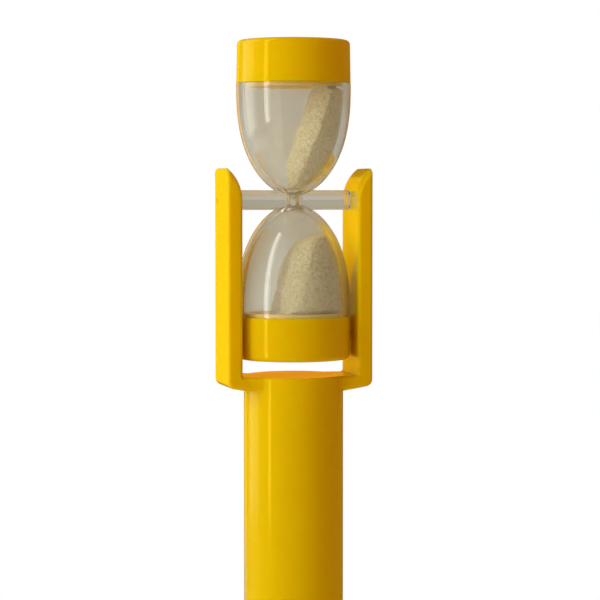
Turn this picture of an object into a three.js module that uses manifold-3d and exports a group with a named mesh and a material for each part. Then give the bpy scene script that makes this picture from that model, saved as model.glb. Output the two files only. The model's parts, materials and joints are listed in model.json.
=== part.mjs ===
// A ballpoint pen whose top is a fork that carries a small sand timer.
// The timer turns end over end on two pivots that are moulded on its neck.
// Millimetres, +Z up along the pen, +X towards the right arm of the fork.
// The origin is on the barrel's axis where the fingers hold the pen.

import * as THREE from "three";
import { mergeVertices } from "three/addons/utils/BufferGeometryUtils.js";
import Module from "manifold-3d";

const wasm = await Module();
wasm.setup();

// ---- driving dimensions -------------------------------------------------------------------

// barrel: a round tube that is closed at the top
const BARREL_R = 6.06;
const BORE_R = 4.6;
const SEAM_Z = -6; // where the nose cone meets the barrel
const FLOOR_Z = 82; // top of the barrel, and floor of the fork
const BORE_END_Z = FLOOR_Z - 4;
const RIB_LENGTH = 12; // ribs that hold the rear end of the refill
const RIB_THICKNESS = 0.8;

// fork: two flat arms that stand on the top of the barrel
const FORK_HALF_WIDTH = 9.0;
const ARM_THICKNESS = 1.85;
const FORK_DEPTH = 7.7;
const FORK_EDGE = 0.15;
const ARM_TIP = 0.3; // blunting of the ridge at the arm's top
const ARM_TIP_SWEEP = 0.03; // angle that the blunted ridge takes off the lead-in curve
const ARM_CORNER_R = 1.3; // front and back corners of the arm's top, seen from the side
const AXLE_ABOVE_FLOOR = 21.3;
const ARM_ABOVE_AXLE = 3.95;
const LEAD_IN_R = 5.5; // the inner side of each arm's top curves away, so the pivots snap in
const EAR_DROP = 1.35; // height of the fork's foot at its outer end
const EAR_SLOPE = 0.165; // its underside falls towards the barrel
const EAR_CORNER_R = 0.9;
const GATE_R = 0.4; // small sunk mark on the outside of the left arm
const GATE_DEPTH = 0.12;
const GATE_Y = 2.4;
const GATE_BELOW_AXLE = 0.15;

// timer: a clear double cup with a cap on each open end
const CUP_R = 6.97;
const CUP_DEPTH = 13.71; // from the rim to where the bulb's outline would close
const CUP_RIM = 14.07; // height of the rim above the axle
const CUP_FULLNESS = 2.556; // exponents of the bulb's outline
const CUP_SHOULDER = 1.745;
const CUP_WALL = 0.9;
const NECK_R = 1.22;
const ORIFICE_R = 0.45;
const ROD_R = 1.19;
const ROD_END = 7.0;
const PIVOT_R = 0.7;
const PIVOT_HOLE_R = 0.78;
const PIVOT_HOLE_END = 8.5; // blind holes
const PIVOT_END = 8.4;

const CAP_R = 6.94;
const CAP_DRAFT = 0.08;
const CAP_HEIGHT = 5.26;
const CAP_EDGE = 0.6;
const CAP_TOP = 1.3;
const CAP_PLUG_DEPTH = 0.4;
const CAP_PLUG_R = CUP_R - CUP_WALL - 0.05;
const CAP_PLUG_WALL = 0.8;

const SAND_GAP = 0.25;
const UPPER_SAND = [[-0.42, 1], [-0.4, 2.4], [-0.2, 4.5], [0.9, 8.3], [2.8, 12.9], [4.4, 18.2]];
const UPPER_SAND_ANGLE = 0.1;
const LOWER_SAND = [[-2.3, -18.2], [-1.2, -14.1], [0, -10], [1.1, -7], [2.5, -5.5], [5, -4]];
const LOWER_SAND_ANGLE = 0.04;

// nose cone and refill
const CONE_END_Z = -31;
const CONE_END_R = 1.95;
const CONE_SWELL = 0.55;
const SPIGOT_R = 4.55;
const SPIGOT_TOP_Z = 3;
const TUBE_R = 1.55;
const TUBE_WALL = 0.65;
const TUBE_BORE_CLEARANCE = 0.1;
const TUBE_LOW_Z = -26.3;
const TUBE_HIGH_Z = 68;
const TIP_R = 1.15;
const TIP_STEM_R = 0.88;
const TIP_STEM_LENGTH = 4;
const TIP_CHANNEL_R = 0.3;
const TIP_CONE_Z = -31.6;
const TIP_END_Z = -33.75;
const BALL_R = 0.5;
const BALL_Z = -33.5;
const SOCKET_R = 0.53;
const INK_TOP_Z = 44;
const FOLLOWER_LENGTH = 4;
const FIT_GAP = 0.05;

const AXLE_Z = FLOOR_Z + AXLE_ABOVE_FLOOR;
const ROUND = 40; // sides of a large round piece
const FINE = 24; // sides of a pin or a small bore

// ---- materials ----------------------------------------------------------------------------

const yellow = new THREE.MeshStandardMaterial({ color: 0xf2c20c, roughness: 0.25, metalness: 0 });
const clear = new THREE.MeshStandardMaterial({
  color: 0xd9d4c2, roughness: 0.12, metalness: 0, transparent: true, opacity: 0.4,
});
const sand = new THREE.MeshStandardMaterial({ color: 0xe4d3a6, roughness: 0.95, metalness: 0 });
const milky = new THREE.MeshStandardMaterial({
  color: 0xe8e8e2, roughness: 0.4, metalness: 0, transparent: true, opacity: 0.6,
});
const ink = new THREE.MeshStandardMaterial({ color: 0x10184a, roughness: 0.3, metalness: 0 });
const grease = new THREE.MeshStandardMaterial({ color: 0xc9b56a, roughness: 0.3, metalness: 0 });
const brass = new THREE.MeshStandardMaterial({ color: 0xc9a24a, roughness: 0.3, metalness: 1 });
const carbide = new THREE.MeshStandardMaterial({ color: 0x8d9096, roughness: 0.2, metalness: 1 });

// ---- helpers ------------------------------------------------------------------------------

// A closed geometry as a solid that can be joined and cut.
function solid(geometry) {
  const bare = new THREE.BufferGeometry();
  bare.setAttribute("position", geometry.getAttribute("position"));
  bare.setIndex(geometry.index);
  const merged = mergeVertices(bare, 1e-4);
  return new wasm.Manifold(new wasm.Mesh({
    numProp: 3,
    vertProperties: merged.attributes.position.array,
    triVerts: new Uint32Array(merged.index.array),
  }));
}

function shell(manifold) {
  const mesh = manifold.getMesh();
  const geometry = new THREE.BufferGeometry();
  geometry.setAttribute("position", new THREE.BufferAttribute(mesh.vertProperties, 3));
  geometry.setIndex(new THREE.BufferAttribute(mesh.triVerts, 1));
  geometry.computeVertexNormals();
  return geometry;
}

// Turns a profile of [radius, height] points, listed upwards along its outer side, about Z.
function turned(profile, sides = ROUND) {
  const points = profile.map(([r, z]) => new THREE.Vector2(r, z));
  return new THREE.LatheGeometry(points, sides).rotateX(Math.PI / 2);
}

function cylinderZ(radius, low, high, sides = ROUND) {
  return turned([[0, low], [radius, low], [radius, high], [0, high]], sides);
}

function cylinderX(radius, from, to, sides = FINE) {
  const length = to - from;
  return new THREE.CylinderGeometry(radius, radius, length, sides)
    .rotateZ(Math.PI / 2)
    .translate(from + length / 2, 0, 0);
}

// Extrudes an outline drawn in X and Z through a depth that is centred on Y = 0.
function slab(shape, depth, edge) {
  return new THREE.ExtrudeGeometry(shape, {
    depth: depth - 2 * edge,
    bevelEnabled: edge > 0,
    bevelThickness: edge,
    bevelSize: edge,
    bevelOffset: -edge,
    bevelSegments: 2,
    curveSegments: 8,
  }).translate(0, 0, edge - depth / 2).rotateX(Math.PI / 2);
}

function piece(name, geometry, material, z = 0) {
  const mesh = new THREE.Mesh(geometry, material);
  mesh.name = name;
  mesh.position.z = z;
  return mesh;
}

// ---- barrel and fork: one moulding --------------------------------------------------------

// The fork seen from the front, with z = 0 at the floor.
function forkOutline() {
  const inner = FORK_HALF_WIDTH - ARM_THICKNESS;
  const top = AXLE_ABOVE_FLOOR + ARM_ABOVE_AXLE;
  const arcX = inner + LEAD_IN_R;
  const arcAngle = Math.acos((arcX - FORK_HALF_WIDTH) / LEAD_IN_R);
  const arcZ = top - LEAD_IN_R * Math.sin(arcAngle);
  const underside = (x) => -EAR_DROP - EAR_SLOPE * (FORK_HALF_WIDTH - x);
  const shape = new THREE.Shape();
  shape.moveTo(0, 0);
  shape.lineTo(0, underside(BORE_R));
  shape.lineTo(BORE_R, underside(BORE_R));
  shape.lineTo(FORK_HALF_WIDTH - EAR_CORNER_R, underside(FORK_HALF_WIDTH - EAR_CORNER_R));
  shape.quadraticCurveTo(
    FORK_HALF_WIDTH, underside(FORK_HALF_WIDTH), FORK_HALF_WIDTH, EAR_CORNER_R - EAR_DROP,
  );
  shape.lineTo(FORK_HALF_WIDTH, top - ARM_TIP);
  shape.absarc(arcX, arcZ, LEAD_IN_R, Math.PI - arcAngle + ARM_TIP_SWEEP, Math.PI, false);
  shape.lineTo(inner, 0);
  return shape;
}

// The fork seen from its side, in Y and Z, with the two rounded corners of the arms' tops.
function forkSide() {
  const side = FORK_DEPTH / 2;
  const top = AXLE_ABOVE_FLOOR + ARM_ABOVE_AXLE;
  const centre = side - ARM_CORNER_R;
  const shape = new THREE.Shape();
  shape.moveTo(-side, -10);
  shape.lineTo(side, -10);
  shape.absarc(centre, top - ARM_CORNER_R, ARM_CORNER_R, 0, Math.PI / 2, false);
  shape.absarc(-centre, top - ARM_CORNER_R, ARM_CORNER_R, Math.PI / 2, Math.PI, false);
  return shape;
}

function barrelAndFork() {
  const edge = 0.15;
  const tube = turned([
    [0, SEAM_Z], [BARREL_R - edge, SEAM_Z], [BARREL_R, SEAM_Z + edge],
    [BARREL_R, FLOOR_Z - edge], [BARREL_R - edge, FLOOR_Z], [0, FLOOR_Z],
  ]);
  const side = solid(slab(forkSide(), 4 * FORK_HALF_WIDTH, 0).rotateZ(Math.PI / 2));
  const half = solid(slab(forkOutline(), FORK_DEPTH, FORK_EDGE))
    .intersect(side)
    .translate([0, 0, FLOOR_Z]);
  const foot = new THREE.BoxGeometry(2 * BORE_R, FORK_DEPTH, 2 * EAR_DROP);
  let body = solid(tube)
    .add(half)
    .add(half.mirror([1, 0, 0]))
    .add(solid(foot.translate(0, 0, FLOOR_Z - EAR_DROP)));
  body = body.subtract(solid(cylinderZ(BORE_R, SEAM_Z - 1, BORE_END_Z)));
  const hole = cylinderX(PIVOT_HOLE_R, -PIVOT_HOLE_END, PIVOT_HOLE_END);
  body = body.subtract(solid(hole.translate(0, 0, AXLE_Z)));
  const gate = cylinderX(GATE_R, -FORK_HALF_WIDTH - 1, -FORK_HALF_WIDTH + GATE_DEPTH, 12);
  body = body.subtract(solid(gate.translate(0, GATE_Y, AXLE_Z - GATE_BELOW_AXLE)));
  const ribInner = TUBE_R + TUBE_BORE_CLEARANCE;
  const ribWidth = BORE_R + 0.2 - ribInner;
  for (let i = 0; i < 4; i += 1) {
    const rib = new THREE.BoxGeometry(ribWidth, RIB_THICKNESS, RIB_LENGTH + 0.5)
      .translate(ribInner + ribWidth / 2, 0, BORE_END_Z + 0.5 - (RIB_LENGTH + 0.5) / 2)
      .rotateZ(Math.PI / 4 + (i * Math.PI) / 2);
    body = body.add(solid(rib));
  }
  return piece("barrel_and_fork", shell(body), yellow);
}

// ---- timer: everything is placed from the axle, z = 0 at its centre -------------------------

// The bulb's outline from the rim down to a small radius, as [radius, height] points.
function bulbOutline(inset, smallest, steps) {
  const radius = CUP_R - inset;
  const depth = CUP_DEPTH - inset;
  const end = Math.acos((smallest / radius) ** (CUP_SHOULDER / 2));
  return Array.from({ length: steps + 1 }, (_, i) => {
    const angle = (end * i) / steps;
    return [
      radius * Math.cos(angle) ** (2 / CUP_SHOULDER),
      CUP_RIM - depth * Math.sin(angle) ** (2 / CUP_FULLNESS),
    ];
  });
}

const below = (profile) => profile.map(([r, z]) => [r, -z]);

function sandVial() {
  const upper = bulbOutline(0, NECK_R, 11).reverse();
  const skin = [[0, -CUP_RIM], ...below(upper).reverse(), ...upper, [0, CUP_RIM]];
  const hollow = bulbOutline(CUP_WALL, ORIFICE_R, 10).reverse();
  const mouth = [[CUP_R - CUP_WALL, CUP_RIM + 1], [0, CUP_RIM + 1]];
  const core = [...below(mouth).reverse(), ...below(hollow).reverse(), ...hollow, ...mouth];
  let body = solid(turned(skin));
  for (const side of [-1, 1]) {
    const rod = cylinderX(ROD_R, NECK_R / 2, ROD_END);
    const pivot = cylinderX(PIVOT_R, ROD_END - 1, PIVOT_END);
    const arm = solid(rod).add(solid(pivot));
    body = body.add(side > 0 ? arm : arm.mirror([1, 0, 0]));
  }
  body = body.subtract(solid(turned(core)));
  return piece("sand_vial", shell(body), clear);
}

// A cap in the upper position: a short drum, open below, whose plug sits in the cup's mouth.
function capProfile() {
  const top = CUP_RIM + CAP_HEIGHT;
  const inner = CAP_PLUG_R - CAP_PLUG_WALL;
  const corner = CAP_R - CAP_DRAFT;
  return [
    [0, top - CAP_TOP],
    [inner, top - CAP_TOP],
    [inner, CUP_RIM - CAP_PLUG_DEPTH],
    [CAP_PLUG_R, CUP_RIM - CAP_PLUG_DEPTH],
    [CAP_PLUG_R, CUP_RIM + FIT_GAP],
    [CAP_R, CUP_RIM + FIT_GAP],
    [corner, top - CAP_EDGE],
    [corner - CAP_EDGE * 0.3, top - CAP_EDGE * 0.3],
    [corner - CAP_EDGE, top],
    [0, top],
  ];
}

function cap(name, turn) {
  const mesh = piece(name, turned(capProfile()), yellow);
  mesh.rotation.x = turn;
  return mesh;
}

// The sand lies against the right-hand wall of each cup, as it settled with the timer on its side.
// Each surface is a smooth line in X and Z, swept through the cup at a small angle to Y; the sand
// is everything to the right of it.
function sandBody(name, surface, sweepAngle) {
  const line = new THREE.SplineCurve(surface.map(([x, z]) => new THREE.Vector2(x, z)));
  const shape = new THREE.Shape();
  shape.setFromPoints([
    ...line.getPoints(8),
    new THREE.Vector2(CUP_R + 1, surface.at(-1)[1]),
    new THREE.Vector2(CUP_R + 1, surface[0][1]),
  ]);
  const inCup = bulbOutline(CUP_WALL + SAND_GAP, ORIFICE_R, 8);
  const inCap = CAP_PLUG_R - CAP_PLUG_WALL - SAND_GAP;
  const plugEnd = CUP_RIM - CAP_PLUG_DEPTH - SAND_GAP;
  const top = CUP_RIM + CAP_HEIGHT - CAP_TOP - SAND_GAP;
  const cupPart = inCup.filter(([, z]) => z < plugEnd - 0.5).reverse();
  const lowest = [0, cupPart[0][1]];
  const rest = [[CUP_R - CUP_WALL - SAND_GAP, plugEnd], [inCap, plugEnd], [inCap, top], [0, top]];
  const space = [lowest, ...cupPart, ...rest];
  const isLower = surface[0][1] < 0;
  const room = solid(turned(isLower ? below(space).reverse() : space));
  const heap = room.intersect(solid(slab(shape, 4 * CUP_R, 0).rotateZ(-sweepAngle)));
  return piece(name, shell(heap), sand);
}

function timer() {
  const group = new THREE.Group();
  group.position.z = AXLE_Z;
  group.add(
    sandVial(),
    cap("upper_cap", 0),
    cap("lower_cap", Math.PI),
    sandBody("upper_sand", UPPER_SAND, UPPER_SAND_ANGLE),
    sandBody("lower_sand", LOWER_SAND, LOWER_SAND_ANGLE),
  );
  return group;
}

// ---- nose cone ----------------------------------------------------------------------------

function noseCone() {
  const tubeBore = TUBE_R + TUBE_BORE_CLEARANCE;
  const tipBore = TIP_R + TUBE_BORE_CLEARANCE;
  const steps = 6;
  const taper = Array.from({ length: steps + 1 }, (_, i) => {
    const t = i / steps;
    const swell = CONE_SWELL * Math.sin(Math.PI * t);
    return [CONE_END_R + (BARREL_R - CONE_END_R) * t + swell, CONE_END_Z + (SEAM_Z - CONE_END_Z) * t];
  });
  const profile = [
    [tipBore, CONE_END_Z],
    ...taper,
    [SPIGOT_R, SEAM_Z],
    [SPIGOT_R, SPIGOT_TOP_Z - 0.4],
    [SPIGOT_R - 0.4, SPIGOT_TOP_Z],
    [tubeBore, SPIGOT_TOP_Z],
    [tubeBore, TUBE_LOW_Z - FIT_GAP],
    [tipBore, TUBE_LOW_Z - FIT_GAP],
    [tipBore, CONE_END_Z],
  ];
  return piece("nose_cone", turned(profile), yellow);
}

// ---- refill -------------------------------------------------------------------------------

function refillTube() {
  const inner = TUBE_R - TUBE_WALL;
  const profile = [
    [inner, TUBE_LOW_Z], [TUBE_R, TUBE_LOW_Z], [TUBE_R, TUBE_HIGH_Z], [inner, TUBE_HIGH_Z],
    [inner, TUBE_LOW_Z],
  ];
  return piece("refill_tube", turned(profile, FINE), milky);
}

// A turned brass tip: a stem pressed in the tube, a plain front and a cone that holds the ball.
function refillTip() {
  const stemTop = TUBE_LOW_Z + TIP_STEM_LENGTH;
  const socket = [];
  const lip = Math.asin((BALL_Z - TIP_END_Z) / SOCKET_R);
  const seat = Math.acos(TIP_CHANNEL_R / SOCKET_R);
  const steps = 5;
  for (let i = 0; i <= steps; i += 1) {
    const angle = seat - ((seat + lip) * i) / steps;
    socket.push([SOCKET_R * Math.cos(angle), BALL_Z + SOCKET_R * Math.sin(angle)]);
  }
  const profile = [
    ...socket,
    [SOCKET_R + 0.06, TIP_END_Z + 0.02],
    [TIP_R, TIP_CONE_Z],
    [TIP_R, TUBE_LOW_Z - FIT_GAP],
    [TIP_STEM_R, TUBE_LOW_Z - FIT_GAP],
    [TIP_STEM_R, stemTop],
    [TIP_CHANNEL_R, stemTop],
    socket[0],
  ];
  return piece("refill_tip", turned(profile, FINE), brass);
}

function writingBall() {
  const ball = new THREE.SphereGeometry(BALL_R, 16, 10).rotateX(Math.PI / 2);
  return piece("writing_ball", ball, carbide, BALL_Z);
}

function inkColumn() {
  const low = TUBE_LOW_Z + TIP_STEM_LENGTH + FIT_GAP;
  const radius = TUBE_R - TUBE_WALL - FIT_GAP;
  return piece("ink_column", cylinderZ(radius, low, INK_TOP_Z, 16), ink);
}

function greaseFollower() {
  const low = INK_TOP_Z + FIT_GAP;
  const radius = TUBE_R - TUBE_WALL - FIT_GAP;
  return piece("grease_follower", cylinderZ(radius, low, low + FOLLOWER_LENGTH, 16), grease);
}

// ---- the pen ------------------------------------------------------------------------------

const pen = new THREE.Group();
pen.add(
  barrelAndFork(),
  noseCone(),
  refillTube(),
  refillTip(),
  writingBall(),
  inkColumn(),
  greaseFollower(),
  timer(),
);

export default pen;
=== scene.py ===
import json
import math

import bmesh
import bpy
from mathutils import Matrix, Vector


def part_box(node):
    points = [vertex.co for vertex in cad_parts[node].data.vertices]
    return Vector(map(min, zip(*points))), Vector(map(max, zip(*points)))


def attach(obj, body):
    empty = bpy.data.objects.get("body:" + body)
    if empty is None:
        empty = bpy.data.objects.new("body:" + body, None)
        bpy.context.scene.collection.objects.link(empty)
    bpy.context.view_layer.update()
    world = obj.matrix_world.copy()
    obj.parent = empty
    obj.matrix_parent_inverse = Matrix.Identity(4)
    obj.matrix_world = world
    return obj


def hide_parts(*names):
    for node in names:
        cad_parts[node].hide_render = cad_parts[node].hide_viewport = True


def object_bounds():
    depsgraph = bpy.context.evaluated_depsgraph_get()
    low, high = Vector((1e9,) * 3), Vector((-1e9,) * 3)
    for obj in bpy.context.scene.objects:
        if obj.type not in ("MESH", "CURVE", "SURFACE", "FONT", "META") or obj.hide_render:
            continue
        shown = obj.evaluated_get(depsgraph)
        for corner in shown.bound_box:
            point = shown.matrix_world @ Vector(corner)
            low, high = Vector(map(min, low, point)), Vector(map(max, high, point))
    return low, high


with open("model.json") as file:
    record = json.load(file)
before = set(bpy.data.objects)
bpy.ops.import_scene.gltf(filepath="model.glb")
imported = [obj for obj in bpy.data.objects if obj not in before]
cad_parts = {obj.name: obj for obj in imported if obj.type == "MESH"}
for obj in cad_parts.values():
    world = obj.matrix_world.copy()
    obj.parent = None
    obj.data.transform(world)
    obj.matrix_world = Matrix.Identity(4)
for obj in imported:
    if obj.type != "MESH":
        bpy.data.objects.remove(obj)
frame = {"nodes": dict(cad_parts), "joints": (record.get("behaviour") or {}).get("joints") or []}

cad_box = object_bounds()

# ---- The view -----------------------------------------------------------------------------
# The pen stands upright and is seen close up, from a little to the left of its front, with the
# eye just above the timer's axle. The lens is long, so the timer and its fork fill the view.

MM = 0.001
AXLE_Z = frame["joints"][0]["pos_m"][2]
VIEW_TURN = math.radians(-14)
EYE_DISTANCE = 268 * MM
EYE_ABOVE_AXLE = 1.1 * MM
AIM_BELOW_AXLE = 12.18 * MM
AIM_RIGHT = 0.79 * MM

camera = bpy.data.objects.new("camera", bpy.data.cameras.new("camera"))
camera.data.lens = 132
camera.data.sensor_width = 36
camera.data.clip_start = 0.01
camera.location = (
    math.sin(VIEW_TURN) * EYE_DISTANCE,
    -math.cos(VIEW_TURN) * EYE_DISTANCE,
    AXLE_Z + EYE_ABOVE_AXLE,
)
aim = Vector((
    math.cos(VIEW_TURN) * AIM_RIGHT,
    math.sin(VIEW_TURN) * AIM_RIGHT,
    AXLE_Z - AIM_BELOW_AXLE,
))
camera.rotation_euler = (aim - camera.location).to_track_quat("-Z", "Y").to_euler()
bpy.context.scene.collection.objects.link(camera)
bpy.context.scene.camera = camera
bpy.context.scene.view_settings.view_transform = "Standard"

# ---- The studio ---------------------------------------------------------------------------
# Soft panels light the pen from its left: a narrow one, a wide one further round and a small one
# close by. Two warm cards are mirrored in its glossy edges, a pale backdrop lights it from behind,
# and a dim warm room fills in from the right. The floor is plain.


def link_nodes(tree, *pairs):
    """Joins each pair of sockets, from an output to an input."""
    for output, target in pairs:
        tree.links.new(output, target)


def panel(name, turn, rise, size, brightness, colour, distance=0.5):
    """A soft rectangular lamp that faces the timer; turn and rise are seen from the timer, and the
    turn is counted from the eye. Returns the lamp's object."""
    lamp = bpy.data.lights.new(name, "AREA")
    lamp.shape = "RECTANGLE"
    lamp.size, lamp.size_y = size
    lamp.energy = brightness * math.pi * size[0] * size[1]
    lamp.color = colour
    turn, rise = VIEW_TURN + math.radians(turn), math.radians(rise)
    offset = Vector((math.sin(turn) * math.cos(rise), -math.cos(turn) * math.cos(rise), math.sin(rise)))
    holder = bpy.data.objects.new(name, lamp)
    holder.location = Vector((0, 0, AXLE_Z)) + offset * distance
    holder.rotation_euler = (-offset).to_track_quat("-Z", "Y").to_euler()
    bpy.context.scene.collection.objects.link(holder)
    return holder


panel("narrow_panel", turn=-57, rise=22, size=(0.07, 0.68), brightness=4.7, colour=(1, 0.98, 0.93))
panel("wide_panel", turn=-105, rise=12, size=(0.32, 0.46), brightness=1.12, colour=(1, 0.99, 0.93))

# the small panel only lights the pen, and isn't mirrored in it
near_panel = panel(
    "near_panel",
    turn=-38,
    rise=8,
    size=(0.05, 0.22),
    brightness=1.0,
    colour=(1, 0.92, 0.8),
    distance=0.11,
)
near_panel.visible_glossy = False

# the cards are only mirrored: an orange one low behind and a yellow one behind on the left
for card in (
    panel("orange_card", turn=180, rise=5, size=(0.26, 0.07), brightness=0.85, colour=(1, 0.34, 0.0)),
    panel("yellow_card", turn=-152, rise=-2, size=(0.16, 0.5), brightness=1.12, colour=(1, 0.56, 0.0)),
):
    card.visible_transmission = False
    card.visible_diffuse = False

# the room as it shines on the pen and as it is mirrored in it
ROOM_LEFT = (0.45, 0.40, 0.28, 1)
ROOM_RIGHT = (0.43, 0.16, 0.05, 1)
ROOM_BACK = (0.28, 0.14, 0.02, 1)
SHADE_RIGHT = (0.28, 0.075, 0.03, 1)
BACKDROP = (1.15, 0.94, 0.50, 1)
# the grey card that shows through the clear cups
BEHIND_LEFT = (0.46, 0.44, 0.38, 1)
BEHIND_RIGHT = (0.42, 0.385, 0.24, 1)
BEHIND_BACK = (0.40, 0.38, 0.30, 1)
BEHIND_LOW = (0.49, 0.495, 0.44, 1)

world = bpy.data.worlds.new("room")
world.use_nodes = True
bpy.context.scene.world = world
room = world.node_tree
room.nodes.clear()
direction = room.nodes.new("ShaderNodeTexCoord")
ray = room.nodes.new("ShaderNodeLightPath")


def share_towards(way, low, high):
    """How far a direction of the room points the given way, from 0 at low to 1 at high."""
    along = room.nodes.new("ShaderNodeVectorMath")
    along.operation = "DOT_PRODUCT"
    along.inputs[1].default_value = way
    share = room.nodes.new("ShaderNodeMapRange")
    share.inputs["From Min"].default_value = low
    share.inputs["From Max"].default_value = high
    link_nodes(
        room,
        (direction.outputs["Generated"], along.inputs[0]),
        (along.outputs["Value"], share.inputs["Value"]),
    )
    return share.outputs["Result"]


def room_light(first, *changes):
    """A light of one colour that changes to others, each given with the share of the room that it
    has. Returns its shader."""
    light = room.nodes.new("ShaderNodeBackground")
    colour = None
    for share, other in changes:
        mix = room.nodes.new("ShaderNodeMix")
        mix.data_type = "RGBA"
        mix.inputs["A"].default_value = first
        mix.inputs["B"].default_value = other
        room.links.new(share, mix.inputs["Factor"])
        if colour is not None:
            room.links.new(colour, mix.inputs["A"])
        colour = mix.outputs["Result"]
    room.links.new(colour, light.inputs["Color"])
    return light.outputs["Background"]


rightwards = share_towards((math.cos(VIEW_TURN), math.sin(VIEW_TURN), 0), -0.3, 0.8)
away = share_towards((-math.sin(VIEW_TURN), math.cos(VIEW_TURN), 0), 0.2, 0.8)
downwards = share_towards((0, 0, -1), -0.01, 0.04)
shining = room_light(ROOM_LEFT, (rightwards, SHADE_RIGHT), (away, BACKDROP))
mirrored = room_light(ROOM_LEFT, (rightwards, ROOM_RIGHT), (away, ROOM_BACK))
seen_through = room_light(
    BEHIND_LEFT, (rightwards, BEHIND_RIGHT), (away, BEHIND_BACK), (downwards, BEHIND_LOW)
)

white = room.nodes.new("ShaderNodeBackground")
white.inputs["Color"].default_value = (1, 1, 1, 1)
around = room.nodes.new("ShaderNodeMixShader")
through = room.nodes.new("ShaderNodeMixShader")
chosen = room.nodes.new("ShaderNodeMixShader")
surround = room.nodes.new("ShaderNodeOutputWorld")
link_nodes(
    room,
    (ray.outputs["Is Glossy Ray"], around.inputs["Fac"]),
    (shining, around.inputs[1]),
    (mirrored, around.inputs[2]),
    (ray.outputs["Is Transmission Ray"], through.inputs["Fac"]),
    (around.outputs["Shader"], through.inputs[1]),
    (seen_through, through.inputs[2]),
    (ray.outputs["Is Camera Ray"], chosen.inputs["Fac"]),
    (through.outputs["Shader"], chosen.inputs[1]),
    (white.outputs["Background"], chosen.inputs[2]),
    (chosen.outputs["Shader"], surround.inputs["Surface"]),
)

FLOOR_RADIUS = 0.4
FLOOR_GAP = 0.05 * MM


def plain_material(name, colour, roughness):
    """A material with one Principled shader. Returns the material, its tree and the shader."""
    material = bpy.data.materials.new(name)
    material.use_nodes = True
    shader = material.node_tree.nodes["Principled BSDF"]
    shader.inputs["Base Color"].default_value = (*colour, 1)
    shader.inputs["Roughness"].default_value = roughness
    return material, material.node_tree, shader


floor_mesh = bmesh.new()
bmesh.ops.create_circle(floor_mesh, cap_ends=True, segments=96, radius=FLOOR_RADIUS)
bmesh.ops.translate(floor_mesh, verts=floor_mesh.verts, vec=(0, 0, cad_box[0][2] - FLOOR_GAP))
floor = bpy.data.objects.new("floor", bpy.data.meshes.new("floor"))
floor_mesh.to_mesh(floor.data)
floor_mesh.free()
floor.data.materials.append(plain_material("pale_paper", (0.82, 0.81, 0.79), 0.9)[0])
bpy.context.scene.collection.objects.link(floor)

# ---- Barrel and fork ----------------------------------------------------------------------
# One glossy yellow moulding: a round barrel, closed at its top, and on it two flat arms that
# hold the timer. The arms' inner sides curve away at the top, so that the timer snaps in.

BARREL_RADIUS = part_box("nose_cone")[1][0]
BARREL_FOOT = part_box("barrel_and_fork")[0][2]
BARREL_WALL = 1.4 * MM
BARREL_EDGE = 0.22 * MM
BARREL_CHAMFER = 0.1 * MM
BARREL_CLOSED_TOP = 4 * MM
BARREL_RISE = 0.004 * MM
FORK_FLOOR = AXLE_Z - 21.3 * MM
FORK_HALF_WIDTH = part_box("barrel_and_fork")[1][0]
FORK_HALF_DEPTH = 3.85 * MM
FORK_EDGE = 0.42 * MM
FORK_INNER_CORNER = 0.3 * MM
ARM_INSIDE = FORK_HALF_WIDTH - 1.85 * MM
ARM_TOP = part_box("barrel_and_fork")[1][2]
ARM_RIDGE = 0.12 * MM
ARM_CORNER = 1.3 * MM
LEAD_IN_RADIUS = 4.3 * MM
EAR_DROP = 1.35 * MM
EAR_SLOPE = 0.165
EAR_CORNER = 0.9 * MM
PIVOT_HOLE_RADIUS = 0.78 * MM
PIVOT_HOLE_END = 8.5 * MM
GATE_RADIUS = 0.4 * MM
GATE_DEPTH = 0.12 * MM
GATE_EDGE = 0.08 * MM
GATE_Y = 2.4 * MM
GATE_BELOW_AXLE = 0.15 * MM

YELLOW = (0.94, 0.67, 0.002)
YELLOW_DEEP = (0.91, 0.62, 0.001)
YELLOW_SHINE = (1.0, 0.72, 0.02, 1)


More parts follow.
